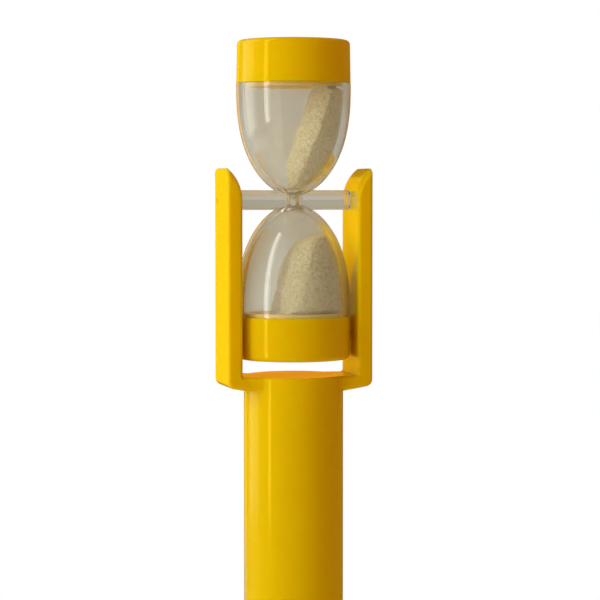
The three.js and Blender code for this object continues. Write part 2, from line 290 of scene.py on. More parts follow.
def handling_marks():
    """Node group: the smears and hair-fine scratches that plastic picks up from hands."""
    group = bpy.data.node_groups.new("handling_marks", "ShaderNodeTree")
    face = group.interface
    for name, start in (("Smear Scale", 120.0), ("Scratch Scale", 900.0), ("Scratch Share", 0.5)):
        face.new_socket(name, in_out="INPUT", socket_type="NodeSocketFloat").default_value = start
    for name in ("Smears", "Scratches"):
        face.new_socket(name, in_out="OUTPUT", socket_type="NodeSocketFloat")
    nodes = group.nodes
    given = nodes.new("NodeGroupInput")
    result = nodes.new("NodeGroupOutput")
    place = nodes.new("ShaderNodeTexCoord")
    smear = nodes.new("ShaderNodeTexNoise")
    smear.inputs["Detail"].default_value = 5
    smear.inputs["Distortion"].default_value = 0.6
    smear_range = nodes.new("ShaderNodeMapRange")
    smear_range.inputs["From Min"].default_value = 0.42
    smear_range.inputs["From Max"].default_value = 0.72
    stretch = nodes.new("ShaderNodeMapping")
    stretch.inputs["Rotation"].default_value = (0.35, 0.5, 0.2)
    stretch.inputs["Scale"].default_value = (1, 1, 0.035)
    scratch = nodes.new("ShaderNodeTexNoise")
    scratch.inputs["Detail"].default_value = 2
    thin = nodes.new("ShaderNodeMapRange")
    thin.inputs["From Min"].default_value = 0.66
    thin.inputs["From Max"].default_value = 0.72
    strength = nodes.new("ShaderNodeMath")
    strength.operation = "MULTIPLY"
    link_nodes(
        group,
        (place.outputs["Object"], smear.inputs["Vector"]),
        (given.outputs["Smear Scale"], smear.inputs["Scale"]),
        (smear.outputs["Fac"], smear_range.inputs["Value"]),
        (smear_range.outputs["Result"], result.inputs["Smears"]),
        (place.outputs["Object"], stretch.inputs["Vector"]),
        (stretch.outputs["Vector"], scratch.inputs["Vector"]),
        (given.outputs["Scratch Scale"], scratch.inputs["Scale"]),
        (scratch.outputs["Fac"], thin.inputs["Value"]),
        (thin.outputs["Result"], strength.inputs[0]),
        (given.outputs["Scratch Share"], strength.inputs[1]),
        (strength.outputs["Value"], result.inputs["Scratches"]),
    )
    return group


MARKS = handling_marks()


def marked(tree, smear_scale, scratch_scale, scratch_share):
    """Places the handling marks in a material. Returns their node."""
    node = tree.nodes.new("ShaderNodeGroup")
    node.node_tree = MARKS
    node.inputs["Smear Scale"].default_value = smear_scale
    node.inputs["Scratch Scale"].default_value = scratch_scale
    node.inputs["Scratch Share"].default_value = scratch_share
    return node


def ranged(tree, value, low, high):
    """Maps a value from 0..1 to low..high. Returns the output socket."""
    node = tree.nodes.new("ShaderNodeMapRange")
    node.inputs["To Min"].default_value = low
    node.inputs["To Max"].default_value = high
    tree.links.new(value, node.inputs["Value"])
    return node.outputs["Result"]


def mixed(tree, factor, first, second):
    """Mixes two plain colours by a factor. Returns the output socket."""
    node = tree.nodes.new("ShaderNodeMix")
    node.data_type = "RGBA"
    node.inputs["A"].default_value = (*first, 1)
    node.inputs["B"].default_value = (*second, 1)
    tree.links.new(factor, node.inputs["Factor"])
    return node.outputs["Result"]


def noise(tree, scale, detail=3.0):
    """A noise on the piece's own coordinates. Returns the output socket."""
    place = tree.nodes.new("ShaderNodeTexCoord")
    node = tree.nodes.new("ShaderNodeTexNoise")
    node.inputs["Scale"].default_value = scale
    node.inputs["Detail"].default_value = detail
    tree.links.new(place.outputs["Object"], node.inputs["Vector"])
    return node.outputs["Fac"]


def bumped(tree, shader, *layers):
    """Adds bump layers, each a height socket and a depth in metres, to a shader's normal."""
    normal = None
    for height, depth in layers:
        bump = tree.nodes.new("ShaderNodeBump")
        bump.inputs["Distance"].default_value = depth
        tree.links.new(height, bump.inputs["Height"])
        if normal is not None:
            tree.links.new(normal, bump.inputs["Normal"])
        normal = bump.outputs["Normal"]
    tree.links.new(normal, shader.inputs["Normal"])


def yellow_plastic():
    """Glossy moulded plastic: a slightly uneven pigment, faint orange peel, smears and scratches."""
    material, tree, shader = plain_material("yellow_plastic", YELLOW, 0.2)
    shader.inputs["IOR"].default_value = 1.5
    shader.inputs["Specular Tint"].default_value = YELLOW_SHINE
    shader.inputs["Subsurface Weight"].default_value = 0.6
    shader.inputs["Subsurface Radius"].default_value = (1.0, 0.35, 0.02)
    shader.inputs["Subsurface Scale"].default_value = 1.6 * MM
    marks = marked(tree, 140, 1100, 0.6)
    pigment = noise(tree, 260, 4)
    link_nodes(
        tree,
        (mixed(tree, pigment, YELLOW, YELLOW_DEEP), shader.inputs["Base Color"]),
        (ranged(tree, marks.outputs["Smears"], 0.08, 0.16), shader.inputs["Roughness"]),
    )
    bumped(tree, shader, (noise(tree, 700, 2), 0.010 * MM), (marks.outputs["Scratches"], 0.004 * MM))
    return material


YELLOW_PLASTIC = yellow_plastic()


def add_piece(name, mesh, material):
    """An object at the origin with this mesh and material."""
    mesh.materials.clear()
    mesh.materials.append(material)
    piece = bpy.data.objects.new(name, mesh)
    bpy.context.scene.collection.objects.link(piece)
    return piece


def mesh_from(name, points, faces):
    """A closed mesh from points and faces, with doubles merged and all faces turned outwards."""
    mesh = bpy.data.meshes.new(name)
    mesh.from_pydata([tuple(p) for p in points], [], faces)
    work = bmesh.new()
    work.from_mesh(mesh)
    bmesh.ops.remove_doubles(work, verts=work.verts, dist=1e-7)
    bmesh.ops.recalc_face_normals(work, faces=work.faces)
    work.to_mesh(mesh)
    work.free()
    return mesh


def turned(name, profile, steps=128):
    """A body of revolution about Z from (radius, height) points. The profile starts and ends on
    the axis, or closes on itself."""
    points = []
    faces = []
    count = len(profile)
    for i in range(steps):
        angle = 2 * math.pi * i / steps
        points += [(r * math.cos(angle), r * math.sin(angle), z) for r, z in profile]
        for j in range(count - 1):
            a, b = i * count + j, ((i + 1) % steps) * count + j
            corners = [a, b, b + 1, a + 1]
            if profile[j][0] == 0:
                corners = [a, b + 1, a + 1]
            if profile[j + 1][0] == 0:
                corners = [a, b, a + 1]
            faces.append(corners)
    return mesh_from(name, points, faces)


def arc(centre, radius, start, end, steps):
    """Points on an arc in a plane; the angles are in degrees."""
    angles = [math.radians(start + (end - start) * i / steps) for i in range(steps + 1)]
    return [(centre[0] + radius * math.cos(a), centre[1] + radius * math.sin(a)) for a in angles]


def plain_mesh(piece):
    """The piece's mesh with its modifiers applied, as a new mesh."""
    depsgraph = bpy.context.evaluated_depsgraph_get()
    depsgraph.update()
    return bpy.data.meshes.new_from_object(piece.evaluated_get(depsgraph))


def combined(name, meshes, material, operation="UNION", sharp=32):
    """Joins meshes, or cuts the rest from the first, and shades the result for a moulded look."""
    base = add_piece(name, meshes[0], material)
    tools = [add_piece(f"{name}_tool", mesh, material) for mesh in meshes[1:]]
    for tool in tools:
        boolean = base.modifiers.new("join", "BOOLEAN")
        boolean.operation = operation
        boolean.solver = "EXACT"
        boolean.object = tool
    result = plain_mesh(base)
    base.modifiers.clear()
    base.data = result
    for tool in tools:
        bpy.data.objects.remove(tool)
    shade(base, sharp)
    return base


def shade(piece, sharp=32):
    """Smooth shading with crisp edges where faces meet at more than the sharp angle, and with
    large flat faces kept flat."""
    mesh = piece.data
    mesh.polygons.foreach_set("use_smooth", [True] * len(mesh.polygons))
    mesh.set_sharp_from_angle(angle=math.radians(sharp))
    weighted = piece.modifiers.new("flat faces", "WEIGHTED_NORMAL")
    weighted.keep_sharp = True
    piece.data = plain_mesh(piece)
    piece.modifiers.clear()


def fork_section(inset, dip):
    """The fork from the front as (x, z) points all round, anticlockwise. The inset moves every
    side inwards and the dip lowers the tops of the arms."""
    half = FORK_HALF_WIDTH - inset
    slope = math.atan(EAR_SLOPE)
    ear_x = FORK_HALF_WIDTH - EAR_CORNER
    ear_z = FORK_FLOOR - EAR_DROP + EAR_CORNER
    ear = arc((ear_x, ear_z), EAR_CORNER - inset, math.degrees(slope) - 90, 0, 8)
    under = [(x, ear[0][1] - EAR_SLOPE * (ear[0][0] - x)) for x in (0.2 * MM, 3 * MM, 6 * MM)]
    lead_x = ARM_INSIDE + LEAD_IN_RADIUS
    flank = lead_x - FORK_HALF_WIDTH + ARM_RIDGE
    full_rise = math.sqrt((LEAD_IN_RADIUS - ARM_RIDGE) ** 2 - flank ** 2)
    rise = math.sqrt((LEAD_IN_RADIUS - inset - ARM_RIDGE) ** 2 - (flank + inset) ** 2)
    lead_z = ARM_TOP - ARM_RIDGE - full_rise - max(0, dip - (full_rise - rise))
    ridge_angle = 180 - math.degrees(math.atan2(rise, flank + inset))
    ridge = arc((half - ARM_RIDGE, lead_z + rise), ARM_RIDGE, 0, ridge_angle, 5)
    side = [(half, ear_z + (ridge[0][1] - ear_z) * share) for share in (0.2, 0.5, 0.8, 0.92)]
    lead_in = arc((lead_x, lead_z), LEAD_IN_RADIUS - inset, ridge_angle, 180, 24)[1:]
    foot = (ARM_INSIDE - FORK_INNER_CORNER, FORK_FLOOR + FORK_INNER_CORNER)
    inner = [(ARM_INSIDE + inset, foot[1] + (lead_z - foot[1]) * share) for share in (0.6, 0.3)]
    right = under + ear + side + ridge + lead_in + inner
    right += arc(foot, FORK_INNER_CORNER + inset, 0, -90, 5) + [(0.2 * MM, FORK_FLOOR - inset)]
    return right + [(-x, z) for x, z in reversed(right)]


def fork_body():
    """The fork swept through its depth. Its front and back edges are rounded, and so are the
    front and back corners of the arms' tops."""
    slices = []
    for k in range(7):
        turn = math.pi / 2 * k / 6
        slices.append((FORK_EDGE * (1 - math.cos(turn)), FORK_EDGE * (1 - math.sin(turn))))
    slices += [(ARM_CORNER * share, 0) for share in (0.5, 0.62, 0.78, 1)]
    rings = []
    for depth, inset in slices:
        dip = ARM_CORNER - math.sqrt(ARM_CORNER ** 2 - (ARM_CORNER - depth) ** 2)
        rings.append([(x, depth - FORK_HALF_DEPTH, z) for x, z in fork_section(inset, dip)])
    rings += [[(x, -y, z) for x, y, z in ring] for ring in reversed(rings)]
    count = len(rings[0])
    faces = []
    for k in range(len(rings) - 1):
        for i in range(count):
            j = (i + 1) % count
            faces.append([k * count + i, k * count + j, (k + 1) * count + j, (k + 1) * count + i])
    faces.append(list(range(count))[::-1])
    faces.append([(len(rings) - 1) * count + i for i in range(count)])
    return mesh_from("fork", [p for ring in rings for p in ring], faces)


def lying(mesh, y=0.0, z=AXLE_Z, sign=1):
    """Lays an upright turned mesh down along X at the given place; sign -1 points it left."""
    points = [(sign * v.co.z, y + v.co.y, z + v.co.x) for v in mesh.vertices]
    return mesh_from(mesh.name, points, [tuple(f.vertices) for f in mesh.polygons])


barrel_top = FORK_FLOOR + BARREL_RISE
barrel_profile = [
    (0, FORK_FLOOR - BARREL_CLOSED_TOP),
    (BARREL_RADIUS - BARREL_WALL, FORK_FLOOR - BARREL_CLOSED_TOP),
    (BARREL_RADIUS - BARREL_WALL, BARREL_FOOT),
    (BARREL_RADIUS - BARREL_CHAMFER, BARREL_FOOT),
    (BARREL_RADIUS, BARREL_FOOT + BARREL_CHAMFER),
]
barrel_profile += arc((BARREL_RADIUS - BARREL_EDGE, barrel_top - BARREL_EDGE), BARREL_EDGE, 0, 90, 5)
barrel_profile += [(0, barrel_top)]

hole_profile = [
    (0, -PIVOT_HOLE_END),
    (PIVOT_HOLE_RADIUS, -PIVOT_HOLE_END),
    (PIVOT_HOLE_RADIUS, PIVOT_HOLE_END),
    (0, PIVOT_HOLE_END),
]
gate_end = -FORK_HALF_WIDTH + GATE_DEPTH
gate_profile = [
    (0, -FORK_HALF_WIDTH - MM),
    (GATE_RADIUS, -FORK_HALF_WIDTH - MM),
    (GATE_RADIUS, gate_end - 0.05 * MM),
    (GATE_RADIUS - GATE_EDGE, gate_end),
    (0, gate_end),
]
pivot_holes = lying(turned("pivot_holes", hole_profile, 48))
gate_mark = lying(turned("gate_mark", gate_profile, 32), GATE_Y, AXLE_Z - GATE_BELOW_AXLE)
blank = combined("pen_blank", [turned("barrel", barrel_profile), fork_body()], YELLOW_PLASTIC)
cut_meshes = [blank.data.copy(), pivot_holes, gate_mark]
barrel = combined("barrel_with_fork", cut_meshes, YELLOW_PLASTIC, "DIFFERENCE")
bpy.data.objects.remove(blank)
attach(barrel, "pen")
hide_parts("barrel_and_fork")

# ---- Nose cone ----------------------------------------------------------------------------
# A tapered yellow cone, pushed into the barrel's lower end by its spigot. A fine groove shows
# where the two mouldings meet.

NOSE_LOW, NOSE_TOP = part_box("nose_cone")[0][2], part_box("nose_cone")[1][2]
NOSE_END_RADIUS = 1.95 * MM
NOSE_SWELL = 0.55 * MM
SPIGOT_RADIUS = 4.55 * MM
TIP_HOLE_RADIUS = 1.25 * MM
TIP_HOLE_LENGTH = 4 * MM
TIP_HOLE_STEP = 0.4 * MM
SEAM = 0.12 * MM
SEAM_GAP = 0.02 * MM

cone_top = BARREL_FOOT - SEAM_GAP
cone_profile = [(TIP_HOLE_RADIUS, NOSE_LOW + TIP_HOLE_LENGTH), (TIP_HOLE_RADIUS, NOSE_LOW)]
cone_profile += arc((NOSE_END_RADIUS - SEAM, NOSE_LOW + SEAM), SEAM, -90, 0, 3)
for step in range(1, 33):
    share = step / 32
    swell = NOSE_SWELL * math.sin(math.pi * share)
    radius = NOSE_END_RADIUS + (BARREL_RADIUS - NOSE_END_RADIUS) * share + swell
    cone_profile.append((min(radius, BARREL_RADIUS), NOSE_LOW + (cone_top - SEAM - NOSE_LOW) * share))
cone_profile += [
    (BARREL_RADIUS - SEAM, cone_top),
    (SPIGOT_RADIUS, cone_top),
    (SPIGOT_RADIUS, NOSE_TOP),
    (TIP_HOLE_RADIUS + TIP_HOLE_STEP, NOSE_TOP),
    (TIP_HOLE_RADIUS + TIP_HOLE_STEP, NOSE_LOW + TIP_HOLE_LENGTH),
    cone_profile[0],
]
nose = add_piece("nose", turned("nose", cone_profile), YELLOW_PLASTIC)
shade(nose)
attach(nose, "pen")
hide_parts("nose_cone")

# ---- Sand vial ----------------------------------------------------------------------------
# One clear moulding: two deep cups that meet at a narrow neck, a rod on each side of the neck
# and a short pivot on each rod's end. The cups' outline follows one rule, set by its exponents.

VIAL_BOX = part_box("sand_vial")
RIM_HEIGHT = VIAL_BOX[1][2] - AXLE_Z
CUP_RADIUS = VIAL_BOX[1][1]
CUP_DEPTH = RIM_HEIGHT - 0.36 * MM
CUP_FULLNESS = 2.556
CUP_SHOULDER = 1.745
CUP_WALL = 0.9 * MM
CUP_ROWS = 45
CUP_STEPS = 160
NECK_RADIUS = 1.22 * MM
ORIFICE_RADIUS = 0.45 * MM
ROD_RADIUS = 1.19 * MM
ROD_START = 0.8 * MM
ROD_END = 7.0 * MM
ROD_EDGE = 0.05 * MM
PIVOT_RADIUS = 0.7 * MM
PIVOT_END = VIAL_BOX[1][0]
PIVOT_EDGE = 0.1 * MM

CLEAR = (0.95, 0.945, 0.92)


def clear_plastic():
    """Clear styrene: slightly smoky, with faint flow waves and light scratches. Lamps shine
    through it, so that the sand inside is lit."""
    material, tree, shader = plain_material("clear_plastic", CLEAR, 0.06)
    shader.inputs["IOR"].default_value = 1.59
    shader.inputs["Transmission Weight"].default_value = 0.92
    marks = marked(tree, 200, 1500, 0.5)
    tree.links.new(ranged(tree, marks.outputs["Smears"], 0.05, 0.12), shader.inputs["Roughness"])
    bumped(tree, shader, (noise(tree, 160, 1), 0.02 * MM), (marks.outputs["Scratches"], 0.003 * MM))
    path = tree.nodes.new("ShaderNodeLightPath")
    open_way = tree.nodes.new("ShaderNodeBsdfTransparent")
    open_way.inputs["Color"].default_value = (0.90, 0.90, 0.88, 1)
    mix = tree.nodes.new("ShaderNodeMixShader")
    link_nodes(
        tree,
        (path.outputs["Is Shadow Ray"], mix.inputs["Fac"]),
        (shader.outputs["BSDF"], mix.inputs[1]),
        (open_way.outputs["BSDF"], mix.inputs[2]),
        (mix.outputs["Shader"], tree.nodes["Material Output"].inputs["Surface"]),
    )
    return material


CLEAR_PLASTIC = clear_plastic()


def double_cup():
    """Node tree: a closed skin of revolution whose radius follows the cups' rule outside and
    inside. A grid is bent round, one way round the axis and the other along the outline."""
    tree = bpy.data.node_groups.new("double_cup", "GeometryNodeTree")
    sizes = ("Radius", "Depth", "Rim", "Fullness", "Shoulder", "Wall", "Neck", "Orifice", "Axle")
    for name in sizes:
        tree.interface.new_socket(name, in_out="INPUT", socket_type="NodeSocketFloat")
    tree.interface.new_socket("Material", in_out="INPUT", socket_type="NodeSocketMaterial")
    tree.interface.new_socket("Geometry", in_out="OUTPUT", socket_type="NodeSocketGeometry")
    given = tree.nodes.new("NodeGroupInput")
    size = {name: given.outputs[name] for name in sizes}

    def math_node(operation, *values):
        node = tree.nodes.new("ShaderNodeMath")
        node.operation = operation
        for socket, value in zip(node.inputs, values):
            if isinstance(value, (int, float)):
                socket.default_value = value
            else:
                tree.links.new(value, socket)
        return node.outputs[0]

    grid = tree.nodes.new("GeometryNodeMeshGrid")
    grid.inputs["Size X"].default_value = 1
    grid.inputs["Size Y"].default_value = 1
    grid.inputs["Vertices X"].default_value = CUP_STEPS + 1
    grid.inputs["Vertices Y"].default_value = 4 * CUP_ROWS + 1
    position = tree.nodes.new("GeometryNodeInputPosition")
    parts = tree.nodes.new("ShaderNodeSeparateXYZ")
    tree.links.new(position.outputs[0], parts.inputs[0])
    round_turn = math_node("MULTIPLY", parts.outputs["X"], 2 * math.pi)
    # four bands of rows: upper cup outside, lower cup outside, lower inside, upper inside, and
    # one more row that closes the upper cup's rim
    row = math_node("MULTIPLY", math_node("ADD", parts.outputs["Y"], 0.5), 4 * CUP_ROWS)
    band = math_node("FLOOR", math_node("DIVIDE", math_node("ADD", row, 0.5), CUP_ROWS))
    row_in_band = math_node("SUBTRACT", row, math_node("MULTIPLY", band, CUP_ROWS))
    within = math_node("DIVIDE", row_in_band, CUP_ROWS - 1)
    from_rim = math_node("PINGPONG", math_node("ADD", band, within), 1)
    past_first = math_node("GREATER_THAN", band, 0.5)
    past_second = math_node("GREATER_THAN", band, 1.5)
    past_third = math_node("GREATER_THAN", band, 2.5)
    past_fourth = math_node("GREATER_THAN", band, 3.5)
    lower = math_node("SUBTRACT", past_first, past_third)
    inner = math_node("SUBTRACT", past_second, past_fourth)
    inset = math_node("MULTIPLY", inner, size["Wall"])
    radius = math_node("SUBTRACT", size["Radius"], inset)
    depth = math_node("SUBTRACT", size["Depth"], inset)
    bore = math_node("MULTIPLY", inner, size["Orifice"])
    outer = math_node("MULTIPLY", math_node("SUBTRACT", 1, inner), size["Neck"])
    narrow = math_node("DIVIDE", math_node("ADD", bore, outer), radius)
    half_shoulder = math_node("DIVIDE", size["Shoulder"], 2)
    last = math_node("ARCCOSINE", math_node("POWER", narrow, half_shoulder))
    angle = math_node("MULTIPLY", last, from_rim)
    ring_power = math_node("DIVIDE", 2, size["Shoulder"])
    ring = math_node("MULTIPLY", radius, math_node("POWER", math_node("COSINE", angle), ring_power))
    drop_power = math_node("DIVIDE", 2, size["Fullness"])
    drop = math_node("MULTIPLY", depth, math_node("POWER", math_node("SINE", angle), drop_power))
    height = math_node("SUBTRACT", size["Rim"], drop)
    flip = math_node("SUBTRACT", 1, math_node("MULTIPLY", lower, 2))
    place = tree.nodes.new("ShaderNodeCombineXYZ")
    move = tree.nodes.new("GeometryNodeSetPosition")
    merge = tree.nodes.new("GeometryNodeMergeByDistance")
    merge.inputs["Distance"].default_value = 1e-7
    paint = tree.nodes.new("GeometryNodeSetMaterial")
    realize = tree.nodes.new("GeometryNodeRealizeInstances")
    result = tree.nodes.new("NodeGroupOutput")
    link_nodes(
        tree,
        (math_node("MULTIPLY", ring, math_node("COSINE", round_turn)), place.inputs["X"]),
        (math_node("MULTIPLY", ring, math_node("SINE", round_turn)), place.inputs["Y"]),
        (math_node("ADD", size["Axle"], math_node("MULTIPLY", height, flip)), place.inputs["Z"]),
        (grid.outputs["Mesh"], move.inputs["Geometry"]),
        (place.outputs["Vector"], move.inputs["Position"]),
        (move.outputs["Geometry"], merge.inputs["Geometry"]),
        (merge.outputs["Geometry"], realize.inputs["Geometry"]),
        (realize.outputs["Geometry"], paint.inputs["Geometry"]),
        (given.outputs["Material"], paint.inputs["Material"]),
        (paint.outputs["Geometry"], result.inputs["Geometry"]),
    )
    return tree


def grown(name, tree, start_mesh, values):
    """Runs a geometry node tree on a mesh with its named inputs set, and returns the mesh."""
    host = bpy.data.objects.new(name, start_mesh)
    bpy.context.scene.collection.objects.link(host)
    modifier = host.modifiers.new(name, "NODES")
    modifier.node_group = tree
    for item in tree.interface.items_tree:
        if item.in_out == "INPUT" and item.name in values:
            modifier[item.identifier] = values[item.name]
    mesh = plain_mesh(host)
    host.modifiers.clear()
    bpy.data.objects.remove(host)
    return mesh


cup_skin = grown("double_cup", double_cup(), bpy.data.meshes.new("empty"), {
    "Radius": CUP_RADIUS,
    "Depth": CUP_DEPTH,
    "Rim": RIM_HEIGHT,
    "Fullness": CUP_FULLNESS,
    "Shoulder": CUP_SHOULDER,
    "Wall": CUP_WALL,
    "Neck": NECK_RADIUS,
    "Orifice": ORIFICE_RADIUS,
    "Axle": AXLE_Z,
    "Material": CLEAR_PLASTIC,
})
skin_points = [vertex.co.copy() for vertex in cup_skin.vertices]
skin_faces = [tuple(face.vertices) for face in cup_skin.polygons]
cup_mesh = mesh_from("cups", skin_points, skin_faces)


def axle_side(name, sign):
    """A rod with its pivot, from inside the neck's wall outwards along X."""
    profile = [(0, ROD_START), (ROD_RADIUS, ROD_START)]
    profile += arc((ROD_RADIUS - ROD_EDGE, ROD_END - ROD_EDGE), ROD_EDGE, 0, 90, 4)
    profile += [(PIVOT_RADIUS, ROD_END)]
    profile += arc((PIVOT_RADIUS - PIVOT_EDGE, PIVOT_END - PIVOT_EDGE), PIVOT_EDGE, 0, 90, 3)
    profile += [(0, PIVOT_END)]
    return lying(turned(name, profile, 64), sign=sign)


rods = [axle_side("right_rod", 1), axle_side("left_rod", -1)]
vial = combined("vial", [cup_mesh] + rods, CLEAR_PLASTIC)
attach(vial, "timer")
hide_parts("sand_vial")

# ---- Caps ---------------------------------------------------------------------------------
# Two yellow drums close the cups. Each is hollow, with a ring that plugs the cup's mouth, and
# the sprue's small round mark is left in the middle of its flat end.

CAP_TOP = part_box("upper_cap")[1][2] - AXLE_Z
CAP_RIM = RIM_HEIGHT + 0.05 * MM
CAP_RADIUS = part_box("upper_cap")[1][0]
CAP_DRAFT = 0.08 * MM
CAP_EDGE = 0.55 * MM
CAP_THICKNESS = 1.3 * MM
PLUG_RADIUS = CUP_RADIUS - CUP_WALL - 0.05 * MM
PLUG_WALL = 0.8 * MM
PLUG_DEPTH = 0.4 * MM
SPRUE_RADIUS = 0.9 * MM
SPRUE_DEPTH = 0.12 * MM


def cap(name, node, sign):
    """One cap; sign is 1 for the upper one and -1 for the lower one."""
    end = CAP_RADIUS - CAP_DRAFT
    profile = [
        (0, CAP_TOP - CAP_THICKNESS),
        (PLUG_RADIUS - PLUG_WALL, CAP_TOP - CAP_THICKNESS),
        (PLUG_RADIUS - PLUG_WALL, RIM_HEIGHT - PLUG_DEPTH),
        (PLUG_RADIUS - 0.1 * MM, RIM_HEIGHT - PLUG_DEPTH),
        (PLUG_RADIUS, RIM_HEIGHT - PLUG_DEPTH + 0.1 * MM),
        (PLUG_RADIUS, CAP_RIM),
        (CAP_RADIUS - 0.06 * MM, CAP_RIM),
        (CAP_RADIUS, CAP_RIM + 0.06 * MM),
    ]
    profile += arc((end - CAP_EDGE, CAP_TOP - CAP_EDGE), CAP_EDGE, 0, 90, 8)
    profile += [
        (SPRUE_RADIUS + 0.05 * MM, CAP_TOP),
        (SPRUE_RADIUS, CAP_TOP - SPRUE_DEPTH),
        (0.3 * MM, CAP_TOP - SPRUE_DEPTH),
        (0.2 * MM, CAP_TOP - SPRUE_DEPTH / 2),
        (0, CAP_TOP - SPRUE_DEPTH / 2),
    ]
    mesh = turned(name, [(r, AXLE_Z + sign * z) for r, z in profile], 144)
    piece = add_piece(name, mesh, YELLOW_PLASTIC)
    shade(piece)
    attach(piece, "timer")
    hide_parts(node)


cap("cap_upper", "upper_cap", 1)
cap("cap_lower", "lower_cap", -1)

# ---- Sand ---------------------------------------------------------------------------------
# Fine cream sand lies against the right-hand wall of each cup, as it settled while the pen lay
# on that side. Each heap has a lumpy free surface, and its skin is made of separate grains.

SAND_CLEARANCE = 0.16 * MM
GRAIN_SIZE = 0.13 * MM
GRAINS_PER_M2 = 1.3e7
LUMP_SIZE = 0.16 * MM
FINE_LUMP_SHARE = 0.6
BULGE = 0.3

SAND_CREAM = (0.80, 0.74, 0.475)
SAND_TAN = (0.62, 0.52, 0.285)
SAND_WHITE = (0.90, 0.88, 0.74)


def sand_material():
    """Dry sand: each grain has its own tint, from white through cream to tan."""
    material, tree, shader = plain_material("sand", SAND_CREAM, 0.9)
    place = tree.nodes.new("ShaderNodeTexCoord")
    grains = tree.nodes.new("ShaderNodeTexVoronoi")
    grains.inputs["Scale"].default_value = 4200
    tint = tree.nodes.new("ShaderNodeSeparateColor")
    ramp = tree.nodes.new("ShaderNodeValToRGB")
    stops = ramp.color_ramp.elements
    stops[0].color = (*SAND_TAN, 1)
    stops[1].color = (*SAND_WHITE, 1)
    stops.new(0.3).color = (*SAND_CREAM, 1)
    stops.new(0.8).color = (*SAND_CREAM, 1)
    link_nodes(
        tree,
        (place.outputs["Object"], grains.inputs["Vector"]),
        (grains.outputs["Color"], tint.inputs["Color"]),
        (tint.outputs["Red"], ramp.inputs["Fac"]),
        (ramp.outputs["Color"], shader.inputs["Base Color"]),
        (ranged(tree, tint.outputs["Green"], 0.6, 1.0), shader.inputs["Roughness"]),
    )
    bumped(tree, shader, (grains.outputs["Distance"], 0.03 * MM))
    return material


SAND = sand_material()


def cup_space(name, sign):
    """The room for sand inside one cup and its cap, a little clear of the walls."""
    wall = CUP_WALL + SAND_CLEARANCE
    radius, depth = CUP_RADIUS - wall, CUP_DEPTH - wall
    low = ORIFICE_RADIUS * 0.7
    last = math.acos((low / radius) ** (CUP_SHOULDER / 2))
    profile = [(0, 0.2 * MM), (low, 0.2 * MM)]
    for step in range(40, -1, -1):
        angle = last * step / 40
        height = RIM_HEIGHT - depth * math.sin(angle) ** (2 / CUP_FULLNESS)
        if height < RIM_HEIGHT - PLUG_DEPTH - SAND_CLEARANCE:
            profile.append((radius * math.cos(angle) ** (2 / CUP_SHOULDER), height))
    inside = PLUG_RADIUS - PLUG_WALL - SAND_CLEARANCE
    profile += [
        (inside, RIM_HEIGHT - PLUG_DEPTH - SAND_CLEARANCE),
        (inside, CAP_TOP - CAP_THICKNESS - SAND_CLEARANCE),
        (0, CAP_TOP - CAP_THICKNESS - SAND_CLEARANCE),
    ]
    return turned(name, [(r, AXLE_Z + sign * z) for r, z in profile], 96)


def smooth_line(points, steps):
    """A smooth curve through a few points (Catmull-Rom)."""
    padded = [points[0]] + points + [points[-1]]
    line = []
    for a, b, c, d in zip(padded, padded[1:], padded[2:], padded[3:]):
        for i in range(steps):
            t = i / steps
            line.append(tuple(
                0.5 * (2 * q + (r - p) * t + (2 * p - 5 * q + 4 * r - s) * t * t
                       + (3 * q - p - 3 * r + s) * t ** 3)
                for p, q, r, s in zip(a, b, c, d)
            ))
    return line + [points[-1]]


def room_radius(height):
    """The radius of the space for sand at a height above the axle."""
    wall = CUP_WALL + SAND_CLEARANCE
    depth = min(1, max(0, RIM_HEIGHT - abs(height)) / (CUP_DEPTH - wall))
    radius = (CUP_RADIUS - wall) * (1 - depth ** CUP_FULLNESS) ** (1 / CUP_SHOULDER)
    return max(radius, ORIFICE_RADIUS)


def lump(y, z):
    """How far the sand's surface stands out or in at a place: wide swells with finer ones on
    them, whose lengths are set in radians for each metre."""
    wide = math.sin(y * 1300 + 0.7) * math.sin(z * 1500 - y * 700)
    fine = FINE_LUMP_SHARE * math.sin(z * 3600 + y * 2900) * math.sin(y * 2300 - z * 800)
    return LUMP_SIZE * (wide + fine)


def heap_cutter(name, surface, sweep_angle):
    """A block whose left side is the heap's free surface, bulging in the middle and lumpy."""
    line = smooth_line([(x * MM, AXLE_Z + z * MM) for x, z in surface], 10)
    if line[0][1] > line[-1][1]:
        line.reverse()
    rows = 60
    deep = 1.1 * CUP_RADIUS
    block_side = 2 * CUP_RADIUS
    points = []
    for row in range(rows + 1):
        y = deep * (2 * row / rows - 1)
        for x, z in line:
            room_here = room_radius(z - AXLE_Z)
            bulge = BULGE * room_here * min(1.2, abs(y) / room_here) ** 4
            points.append((x + y * math.tan(sweep_angle) + bulge + lump(y, z), y, z))
        points.append((block_side, y, line[-1][1]))
        points.append((block_side, y, line[0][1]))
    count = len(line) + 2
    faces = []
    for row in range(rows):
        for i in range(count):
            j = (i + 1) % count
            a, b = row * count, (row + 1) * count
            faces.append([a + i, a + j, b + j, b + i])
    faces.append(list(range(count)))
    faces.append([rows * count + i for i in range(count)][::-1])
    return mesh_from(name, points, faces)


